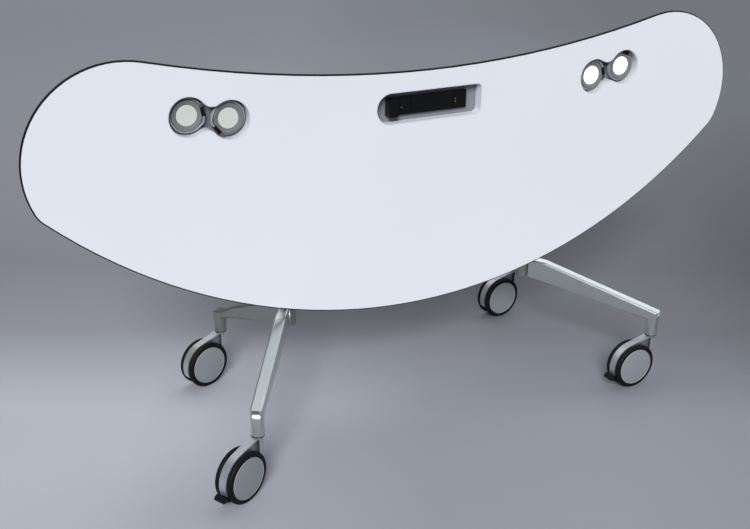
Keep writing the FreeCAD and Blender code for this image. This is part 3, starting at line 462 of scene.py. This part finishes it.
def rubber_finish(name, color, worn):
    """Matt rubber with a dusty bloom and a fine pebble."""
    finish = Finish(name, {"Specular IOR Level": 0.15})
    dust = finish.noise(35.0, 4.0)
    pebble = finish.noise(900.0, 2.0)
    finish.paint({
        "Base Color": finish.blend(color, worn, dust * dust),
        "Roughness": dust * 0.2 + 0.5,
    })
    finish.emboss(pebble, 0.00008)
    return finish.material


black_rubber = rubber_finish("black_rubber", srgb(9, 10, 10), srgb(22, 22, 23))
finished("top_buffers", black_rubber, 0.0008)


# Caster pins: plated steel pins pressed into the stems, each with a thrust collar.
# They are turned parts with fine working marks, coloured dark as painted shade for the gap under each stem.
# A black ring closes the mouth of each stem round its collar; it is a dark piece put in for the shade in that
# gap.

joints = {joint["name"]: joint for joint in frame["joints"]}
corners = ("front_left", "front_right", "rear_left", "rear_right")


def rounded_profile(points, steps=6):
    """Closed outline of (radius, along) corners, each rounded to the third number."""
    outline = []
    for index, (radius, along, rounding) in enumerate(points):
        here = Vector((radius, along))
        back = (Vector(points[index - 1][:2]) - here).normalized()
        ahead = (Vector(points[(index + 1) % len(points)][:2]) - here).normalized()
        if rounding == 0:
            outline.append(here)
            continue
        half = back.angle(ahead) / 2
        center = here + (back + ahead).normalized() * (rounding / math.sin(half))
        start = here + back * (rounding / math.tan(half)) - center
        end = here + ahead * (rounding / math.tan(half)) - center
        turn = start.angle_signed(end)
        for step in range(steps + 1):
            outline.append(center + Matrix.Rotation(-turn * step / steps, 2) @ start)
    return outline


def turned(name, outline, origin, axis, material):
    """Solid of revolution about an axis, from a closed outline of (radius, along)."""
    steps, crease = 96, 30.0
    axis = Vector(axis).normalized()
    side = axis.orthogonal().normalized()
    across = axis.cross(side)
    work = bmesh.new()
    rings = []
    for radius, along in outline:
        middle = Vector(origin) + axis * along
        if radius < 1e-6:
            rings.append([work.verts.new(middle)] * steps)
            continue
        ring = []
        for step in range(steps):
            turn = 2 * math.pi * step / steps
            ring.append(work.verts.new(middle + (side * math.cos(turn) + across * math.sin(turn)) * radius))
        rings.append(ring)
    for first, second in zip(rings, rings[1:] + rings[:1]):
        for step in range(steps):
            after = (step + 1) % steps
            corners_of_face = []
            for vert in (first[step], first[after], second[after], second[step]):
                if vert not in corners_of_face:
                    corners_of_face.append(vert)
            if len(corners_of_face) > 2:
                work.faces.new(corners_of_face)
    bmesh.ops.recalc_face_normals(work, faces=work.faces)
    mesh = bpy.data.meshes.new(name)
    work.to_mesh(mesh)
    work.free()
    mesh.shade_smooth()
    mesh.set_sharp_from_angle(angle=math.radians(crease))
    return new_piece(name, mesh, material)


# Painted shade: the pins are coloured dark for the shadow in the gap under each stem.
greased_pin = plated_finish("greased_pin", srgb(62, 64, 66), srgb(92, 94, 97), 0.34)
finished("caster_stems", greased_pin, 0.0004)
stem_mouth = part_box("front_arm_left")[0].z
# A black ring at each stem's mouth, put in for the shadow in the gap under the stem.
shade_ring_inner, shade_ring_outer, shade_ring_low, shade_ring_high = 0.0103, 0.01615, -0.0006, 0.0018
shade_ring_outline = rounded_profile([
    (shade_ring_inner, shade_ring_low, 0), (shade_ring_outer, shade_ring_low, 0.0004), (shade_ring_outer, shade_ring_high, 0.0003),
    (shade_ring_inner, shade_ring_high, 0)], 4)
for corner in corners:
    stem_x, stem_y = joints["swivel_" + corner]["pos_m"][:2]
    mouth = (stem_x, stem_y, stem_mouth)
    shade_ring = turned("stem_bush_" + corner, shade_ring_outline, mouth, (0.0, 0.0, 1.0), black_moulding)
    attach(shade_ring, "base")


# Caster housings: one die casting each, with the post, the sloping plate, the fender and the web.
# Silver lacquer over zinc, so it is smoother than the legs; shade is painted into the pockets beside the web,
# on the post's wall and in the pin hole.

web_half = 0.0025
post_back = -0.007
pin_ahead, pin_radius, pin_mouth = 0.001, 0.0018, 0.0096
pin_shade, post_shade, web_shade = 1.0, 0.7, 0.4


def mark_painted_shade(piece, pivot, across):
    """Face attribute of painted shade: how dark the web's sides, the post's wall and the pin hole are
    painted.
    """
    near, square_on = 0.0004, 0.95
    ahead = across.cross(Vector((0.0, 0.0, 1.0)))
    mark = piece.data.attributes.new("hollow", "FLOAT", "FACE")
    for face in piece.data.polygons:
        place = face.center - pivot
        along, aside = place.dot(ahead), abs(place.dot(across))
        if aside < pin_mouth and math.hypot(along - pin_ahead, place.z) < pin_radius + near:
            mark.data[face.index].value = pin_shade
        elif face.normal.dot(ahead) < -square_on and abs(along - post_back) < near:
            mark.data[face.index].value = post_shade
        elif abs(face.normal.dot(across)) > square_on and abs(aside - web_half) < near:
            mark.data[face.index].value = web_shade


# The housings' lacquer is darkened by painted shade on the faces marked below.
silver_lacquer = powder_finish("silver_lacquer", srgb(182, 188, 192), srgb(204, 209, 214), 0.4, "hollow")
for corner in corners:
    housing = finished("caster_housing_" + corner, silver_lacquer, 0.0007)
    swivel_place = Vector(joints["swivel_" + corner]["pos_m"])
    mark_painted_shade(housing, swivel_place, Vector(joints["roll_" + corner + "_a"]["axis"]))


# Wheels: a grey moulded disc in a paler rim, with a black rubber tread bonded on, two on each caster.
# All three are turned shapes about the axle, drawn from the roll joint's place and direction.

disc_grey = moulded_finish("disc_grey", srgb(126, 131, 136), srgb(134, 140, 144), 0.42, 1400.0, 0.00006)
rim_grey = moulded_finish("rim_grey", srgb(142, 146, 150), srgb(152, 156, 160), 0.4, 1400.0, 0.00004)
tread_radius, bond_radius, hub_radius, bore_radius = 0.0625, 0.0504, 0.0090, 0.0046
disc_inside, disc_outside, rim_outside = 0.0217, 0.0246, 0.0250
tread_outline = rounded_profile([
    (bond_radius, 0.0118, 0), (tread_radius, 0.0112, 0.0052), (tread_radius, 0.0246, 0.0059),
    (bond_radius, 0.0240, 0.0006)], 8)
rim_outline = rounded_profile([
    (0.0464, 0.0122, 0), (bond_radius, 0.0122, 0), (bond_radius, rim_outside, 0.0008),
    (0.0486, rim_outside, 0.0006), (0.0484, disc_inside, 0), (0.0464, disc_inside, 0)], 4)
disc_outline = rounded_profile([
    (bore_radius, 0.0114, 0), (hub_radius, 0.0114, 0.0006), (hub_radius, disc_inside, 0.0015),
    (0.0482, disc_inside, 0), (0.0483, disc_outside, 0.0005), (0.0040, disc_outside, 0),
    (0.0, disc_outside, 0), (0.0, 0.0219, 0), (bore_radius, 0.0219, 0)], 4)
for corner in corners:
    for wheel, way in (("a", -1), ("b", 1)):
        roll_joint = joints["roll_" + corner + "_" + wheel]
        outward = Vector(roll_joint["axis"]) * way
        name = corner + "_" + wheel
        tread = turned("tread_" + name, tread_outline, roll_joint["pos_m"], outward, black_rubber)
        rim = turned("rim_" + name, rim_outline, roll_joint["pos_m"], outward, rim_grey)
        disc = turned("disc_" + name, disc_outline, roll_joint["pos_m"], outward, disc_grey)
        stands_for(tread, "tyre_" + name)
        stands_for(rim, "wheel_" + name)
        stands_for(disc, "wheel_" + name)


# Brake pedals: black moulded pedals behind the front wheels, forked over the caster's web.
# They turn on a steel pin and the wide toe is trodden down.

for corner in ("front_left", "front_right"):
    finished("brake_pedal_" + corner, black_moulding, 0.0008)


# Tilt gear: cast bearing brackets under the worktop, a steel release rod, its pawls and a torsion spring.
# The brackets are cast like the rear arms; rod, pawls and spring are plated steel; the paddle is moulded.

def coil_recipe():
    """Round wire wound into a helix, with a straight leg at each end."""
    recipe = Recipe("torsion_spring")
    turns, radius = recipe.size("Turns"), recipe.size("Radius")
    height, wire, leg = recipe.size("Height"), recipe.size("Wire"), recipe.size("Leg")
    helix = recipe.node("GeometryNodeCurveSpiral", {}, {
        "Resolution": 32, "Rotations": turns, "Start Radius": radius, "End Radius": radius, "Height": height})
    first_end = recipe.node("ShaderNodeCombineXYZ", {}, {"X": radius, "Y": leg * -1, "Z": 0.0})
    first_start = recipe.node("ShaderNodeCombineXYZ", {}, {"X": radius, "Y": 0.0, "Z": 0.0})
    second_start = recipe.node("ShaderNodeCombineXYZ", {}, {"X": radius * -1, "Y": 0.0, "Z": height})
    second_end = recipe.node("ShaderNodeCombineXYZ", {}, {"X": radius * -1, "Y": leg * -1, "Z": height})
    first = recipe.node("GeometryNodeCurvePrimitiveLine", {}, {"Start": first_end, "End": first_start})
    second = recipe.node("GeometryNodeCurvePrimitiveLine", {}, {"Start": second_start, "End": second_end})
    section = recipe.node("GeometryNodeCurvePrimitiveCircle", {}, {"Resolution": 12, "Radius": wire})
    joined = recipe.tree.nodes.new("GeometryNodeJoinGeometry")
    for path in (second, helix, first):
        tube = recipe.node("GeometryNodeCurveToMesh", {}, {
            "Curve": path, "Profile Curve": section, "Fill Caps": True})
        recipe.tree.links.new(tube.socket, joined.inputs["Geometry"])
    return recipe.close(Value(recipe, joined.outputs[0]))


plated_steel = plated_finish("plated_steel", srgb(186, 188, 192), srgb(225, 227, 230), 0.24)
finished("tilt_brackets", satin_casting, 0.0009)
finished("release_rod", plated_steel, 0.0005)
finished("latch_pawls", plated_steel, 0.0005)
release = joints["release"]
spring_start, spring_turn = 0.314, math.radians(200)
spring_place = (Matrix.Translation((spring_start, release["pos_m"][1], release["pos_m"][2]))
                @ Matrix.Rotation(spring_turn, 4, "X") @ Matrix.Rotation(math.radians(90), 4, "Y"))
spring = coil_recipe().make("release_spring_wire", bpy.data.meshes.new("release_spring_wire"), plated_steel, {
    "Turns": 5.5, "Radius": 0.0072, "Height": 0.01265, "Wire": 0.0008, "Leg": 0.014})
spring.data.transform(spring_place)
stands_for(spring, "release_spring")
finished("release_paddle", black_moulding, 0.0012)


# Screws: socket-head bolts in the legs and column feet, cross-recessed pan heads under the worktop.
# All are plated steel; one recipe sets a head on each point, turned by chance as it was driven.

head_crease = math.radians(40)


def driven_head(name, outline, drive, depth):
    """Screw head about Z, seat at zero: a turned outline, open on top, with a driving recess."""
    steps = 48
    work = bmesh.new()

    def ring(radius_at, height):
        made = []
        for step in range(steps):
            a = 2 * math.pi * step / steps
            made.append(work.verts.new((radius_at(a) * math.cos(a), radius_at(a) * math.sin(a), height)))
        return made

    rings = [ring(lambda a, r=radius: r, height) for radius, height in outline]
    top = outline[-1][1]
    rings.append(ring(drive, top))
    rings.append(ring(drive, top - depth))
    for first, second in zip(rings, rings[1:]):
        for step in range(steps):
            after = (step + 1) % steps
            work.faces.new((first[step], first[after], second[after], second[step]))
    work.faces.new(rings[-1])
    work.faces.new(list(reversed(rings[0])))
    bmesh.ops.recalc_face_normals(work, faces=work.faces)
    mesh = bpy.data.meshes.new(name)
    work.to_mesh(mesh)
    work.free()
    mesh.set_sharp_from_angle(angle=head_crease)
    return bpy.data.objects.new(name, mesh)


def hexagon(across_flats):
    return lambda a: across_flats / 2 / math.cos((a % (math.pi / 3)) - math.pi / 6)


def cross(length, width):
    least = 1e-6

    def bar(a, b):
        return min(length / 2 / max(abs(a), least), width / 2 / max(abs(b), least))

    return lambda a: max(bar(math.cos(a), math.sin(a)), bar(math.sin(a), math.cos(a)))


def heads_recipe():
    """The same head on every point, facing the point's own way and turned by a seeded chance."""
    full_turn = 6.283
    recipe = Recipe("driven_heads")
    head = recipe.size("Head", "NodeSocketObject")
    way = recipe.node("GeometryNodeInputNamedAttribute", {"data_type": "FLOAT_VECTOR"}, {"Name": "way"})
    upright = recipe.node("FunctionNodeAlignRotationToVector", {"axis": "Z"}, {"Vector": way})
    chance = recipe.node("FunctionNodeRandomValue", {"data_type": "FLOAT"}, {
        2: 0.0, 3: full_turn, "Seed": 11}, 1)
    spin = recipe.node("FunctionNodeAxisAngleToRotation", {}, {"Axis": (0.0, 0.0, 1.0), "Angle": chance})
    driven = recipe.node("FunctionNodeRotateRotation", {"rotation_space": "LOCAL"}, {
        "Rotation": upright, "Rotate By": spin})
    shape = recipe.node("GeometryNodeObjectInfo", {}, {"Object": head}, "Geometry")
    heads = recipe.node("GeometryNodeInstanceOnPoints", {}, {
        "Points": recipe.points(), "Instance": shape, "Rotation": driven})
    return recipe.close(heads)


def set_heads(name, recipe, head, places, node):
    """One mesh of screw heads for a body; each place is a point and the way its head faces."""
    mesh = bpy.data.meshes.new(name)
    mesh.from_pydata([point for point, way in places], [], [])
    ways = mesh.attributes.new("way", "FLOAT_VECTOR", "POINT")
    for index, (point, way) in enumerate(places):
        ways.data[index].vector = way
    piece = recipe.make(name, mesh, plated_steel, {"Head": head})
    piece.data.set_sharp_from_angle(angle=head_crease)
    stands_for(piece, node)


def islands(node):
    """Points of each separate solid in a node."""
    work = bmesh.new()
    work.from_mesh(frame["nodes"][node].data)
    bmesh.ops.remove_doubles(work, verts=work.verts, dist=weld_distance)
    found, seen = [], set()
    for vert in work.verts:
        if vert.index in seen:
            continue
        seen.add(vert.index)
        group, waiting = [], [vert]
        while waiting:
            here = waiting.pop()
            group.append(here.co.copy())
            for edge in here.link_edges:
                other = edge.other_vert(here)
                if other.index not in seen:
                    seen.add(other.index)
                    waiting.append(other)
        found.append(group)
    work.free()
    return found


driven_heads = heads_recipe()
back = Vector((0.0, 1.0, 0.0))
crown_band, large_radius = 1e-5, 0.004
sizes = {"large": [], "small": []}
for solid in islands("top_screws"):
    far = max(point.y for point in solid)
    rim = [point for point in solid if point.y > far - crown_band]
    middle = sum(rim, Vector()) / len(rim)
    radius = max((point - middle).length for point in rim)
    sizes["large" if radius > large_radius else "small"].append(middle)
for kind, head_radius, head_height in (("large", 0.005, 0.003), ("small", 0.0032, 0.00192)):
    outline = [(head_radius, 0.0), (head_radius, head_height * 0.35), (head_radius * 0.93, head_height * 0.7),
               (head_radius * 0.78, head_height * 0.92), (head_radius * 0.58, head_height)]
    recess = cross(head_radius * 1.05, head_radius * 0.26)
    head = driven_head("pan_head_" + kind, outline, recess, head_height * 0.6)
    places = [(middle - back * head_height, back) for middle in sizes[kind]]
    set_heads("pan_heads_" + kind, driven_heads, head, places, "top_screws")
foot_screw_height = 0.279
head_edge, shank_edge, head_half_height = 0.0055, 0.0045, 0.0025
bolts = {"leg": [], "foot": []}
for solid in islands("leg_bolts"):
    heights = [point.z for point in solid]
    middle_z = (max(heights) + min(heights)) / 2
    if max(heights) > foot_screw_height:
        crown = [point for point in solid if point.z > max(heights) - crown_band]
        bolts["foot"].append((sum(crown, Vector()) / len(crown), Vector((0.0, 0.0, 1.0))))
        continue
    wide = [point for point in solid if abs(point.z - middle_z) > head_edge]
    shank = [point for point in solid if abs(point.z - middle_z) < shank_edge]
    head_middle = sum(wide, Vector()) / len(wide)
    way = (head_middle - sum(shank, Vector()) / len(shank)).normalized()
    bolts["leg"].append((head_middle + way * head_half_height, way))
for kind, head_radius, head_height in (("leg", 0.0065, 0.005), ("foot", 0.005, 0.004)):
    outline = [(head_radius, 0.0), (head_radius, head_height * 0.88), (head_radius * 0.92, head_height)]
    head = driven_head("socket_head_" + kind, outline, hexagon(head_radius * 0.8), head_height * 0.55)
    places = [(crown - way * head_height, way) for crown, way in bolts[kind]]
    set_heads("socket_heads_" + kind, driven_heads, head, places, "leg_bolts")


# Worktop: wood board faced with white laminate, its bowed edge closed by a black moulding.
# The face is matt with a very fine press texture; the moulding has a rounded lip and bevels back underneath.

def laminate_finish(name, cool, warm):
    """Pressed laminate: even tone, fine pearl texture and faint wiping marks in the gloss."""
    finish = Finish(name, {"Specular IOR Level": 0.4})
    tone = finish.noise(3.0, 2.0)
    pearl = finish.noise(900.0, 2.0)
    wiped = finish.noise(5.0, 3.0, (1.0, 1.0, 3.0))
    finish.paint({
        "Base Color": finish.blend(cool, warm, tone),
        "Roughness": wiped * 0.12 + pearl * 0.06 + 0.38,
    })
    finish.emboss(pearl, 0.00004)
    return finish.material


white_laminate = laminate_finish("white_laminate", srgb(221, 225, 233), srgb(225, 228, 234))
finished("worktop_panel", white_laminate)
black_edge = moulded_finish("black_edge", srgb(8, 8, 9), srgb(13, 13, 14), 0.5, 900.0, 0.00004, 0.15)
finished("edge_band", black_edge)


# Wells and power slot: moulded pans let into the worktop and screwed to its underside.
# The walls are pale, smooth and satin; each pan is darker towards its floor, with a fine grain.

def pan_finish(name, wall, floor_tone, floor_depth):
    """Satin moulding whose tone changes where the wall meets the floor, with the mould's grain."""
    blend_from, blend_to = face_y + floor_depth - 0.004, face_y + floor_depth - 0.0005
    finish = Finish(name, {"Specular IOR Level": 0.4})
    grain = finish.noise(1100.0, 2.0)
    cloud = finish.noise(16.0, 3.0)
    depth = finish.node("ShaderNodeVectorMath", {"operation": "DOT_PRODUCT"}, {
        0: finish.place, 1: (0.0, 1.0, 0.0)}, "Value")
    at_floor = finish.node("ShaderNodeMapRange", {}, {
        "Value": depth, "From Min": blend_from, "From Max": blend_to})
    finish.paint({
        "Base Color": finish.blend(wall, floor_tone, at_floor * (cloud * 0.2 + 0.9)),
        "Roughness": cloud * 0.12 + grain * 0.08 + 0.36,
    })
    finish.emboss(grain, 0.00005)
    return finish.material


well_moulding = pan_finish("well_moulding", srgb(210, 214, 221), srgb(126, 131, 136), 0.031)
tray_moulding = pan_finish("tray_moulding", srgb(216, 220, 228), srgb(122, 128, 134), 0.029)
for side in ("left", "right"):
    finished("well_liner_" + side, well_moulding, 0.0004)
finished("power_tray", tray_moulding, 0.0004)


# Power strip: black moulded strip in three sections with a raised socket block at one end.
# Brass contacts show at the slim arm and beside the last section line.

strip_black = moulded_finish("strip_black", srgb(4, 6, 5), srgb(8, 10, 9), 0.36, 800.0, 0.00008, 0.4)
finished("power_strip", strip_black, 0.0005)
warm_brass = plated_finish("warm_brass", srgb(240, 168, 86), srgb(252, 204, 132), 0.42)
finished("power_contacts", warm_brass, 0.0003)


# Pucks: round satin-grey housings with a dished face and a push disc that lights up.
# The housing is moulded in one with its base flange; the disc is a milky diffuser.

puck_grey = moulded_finish("puck_grey", srgb(108, 113, 116), srgb(117, 122, 126), 0.36, 1300.0, 0.00004)


def disc_finish(name, color, glow):
    """Translucent push disc: milky, faintly uneven, and lit from behind when the puck is on."""
    finish = Finish(name, {"Roughness": 0.4, "Emission Strength": glow})
    milk = finish.noise(120.0, 2.0)
    finish.paint({
        "Base Color": finish.blend(color, srgb(214, 218, 212), milk * 0.4),
        "Emission Color": finish.blend(srgb(250, 252, 255), srgb(255, 255, 252), milk),
    })
    return finish.material


disc_off = disc_finish("disc_off", srgb(202, 208, 200), 0.0)
disc_on = disc_finish("disc_on", srgb(235, 236, 234), 1.0)
for puck in plug_turns:
    finished("puck_shell_" + puck, puck_grey, 0.0004)
    finished("puck_button_" + puck, disc_on if puck.startswith("right") else disc_off, 0.0004)


# Studio: a plain matt floor with painted light and shade: paler in front of the table as a painted pool of
# light, darker behind it and to its right as painted shadow.
# A soft key stands high in front and to the left, and one soft box hangs overhead. Two cooler boxes stand on
# the right: one behind the table, which the right leg's arms reflect, and a small one beside it.

view_ahead, view_across = (0.4545, 0.8908, 0.0), (0.8908, -0.4545, 0.0)
cool_white = (0.86, 0.93, 1.0)


def studio_floor():
    """Matt studio floor with painted light and shade: its tone drops behind the table and to the right as a
    painted shadow.
    """
    finish = Finish("studio_floor", {"Roughness": 0.8, "Specular IOR Level": 0.15})
    ahead = finish.node("ShaderNodeVectorMath", {"operation": "DOT_PRODUCT"}, {
        0: finish.place, 1: view_ahead}, "Value")
    across = finish.node("ShaderNodeVectorMath", {"operation": "DOT_PRODUCT"}, {
        0: finish.place, 1: view_across}, "Value")
    depth = finish.node("ShaderNodeMapRange", {}, {"Value": ahead, "From Min": -2.0, "From Max": 6.0})
    # Painted pool of light in front of the table, painted shadow under and behind it.
    tone = finish.node("ShaderNodeValToRGB", {"stops": [
        (0.0, srgb(166, 169, 177)), (0.175, srgb(174, 177, 186)), (0.231, srgb(172, 175, 184)),
        (0.262, srgb(152, 155, 163)), (0.288, srgb(132, 134, 142)), (0.35, srgb(119, 121, 128)),
        (0.5, srgb(130, 132, 139)), (0.625, srgb(138, 141, 148)), (1.0, srgb(145, 148, 156)),
    ]}, {"Fac": depth})
    aside = finish.node("ShaderNodeMapRange", {}, {"Value": across, "From Min": -0.75, "From Max": 2.5})
    shares = ((0.0, 0.0), (0.138, 0.26), (0.231, 0.42), (0.369, 0.45), (0.492, 0.55), (0.6, 0.78),
              (0.754, 0.92), (1.0, 1.0))
    stops = [(place, (share, share, share, 1.0)) for place, share in shares]
    painted_shade_share = finish.node("ShaderNodeValToRGB", {"stops": stops}, {"Fac": aside})
    near = finish.node("ShaderNodeMapRange", {}, {
        "Value": ahead, "From Min": 1.0, "From Max": 4.5, "To Min": 0.9, "To Max": 0.32})
    # Painted shadow: the tone is blended toward dark grey behind the table and to the right.
    finish.paint({"Base Color": finish.blend(tone, srgb(56, 57, 61), painted_shade_share * near)})
    return finish.material


reach = 14.0
floor_mesh = bpy.data.meshes.new("studio_floor")
floor_mesh.from_pydata([(-reach, -reach, 0), (reach, -reach, 0), (reach, reach, 0), (-reach, reach, 0)], [],
                       [(0, 1, 2, 3)])
floor = new_piece("studio_floor", floor_mesh, studio_floor())

world = bpy.data.worlds.new("studio")
bpy.context.scene.world = world
world.use_nodes = True
background = world.node_tree.nodes["Background"]
background.inputs["Color"].default_value = srgb(190, 193, 200)
background.inputs["Strength"].default_value = 0.35


def lamp(name, kind, place, aim, settings):
    light = bpy.data.lights.new(name, kind)
    for setting, value in settings.items():
        setattr(light, setting, value)
    stand = bpy.data.objects.new(name, light)
    stand.location = place
    stand.rotation_euler = (Vector(aim) - Vector(place)).to_track_quat("-Z", "Y").to_euler()
    bpy.context.scene.collection.objects.link(stand)


lamp("key", "SUN", (-2.2, -3.6, 3.4), (0.0, 0.0, 0.5), {"energy": 3.45, "angle": math.radians(22)})
lamp("overhead", "AREA", (0.4, 1.4, 3.2), (0.1, -0.1, 0.2), {
    "shape": "RECTANGLE", "size": 3.6, "size_y": 2.2, "energy": 50.0})
lamp("behind", "AREA", (3.3, 2.2, 2.3), (0.4, 0.0, 0.2), {
    "shape": "RECTANGLE", "size": 2.6, "size_y": 1.3, "energy": 20.0, "color": cool_white})
lamp("side", "AREA", (3.0, -0.6, 1.8), (-0.45, -0.15, 0.2), {
    "shape": "RECTANGLE", "size": 1.1, "size_y": 0.9, "energy": 16.0, "color": cool_white})
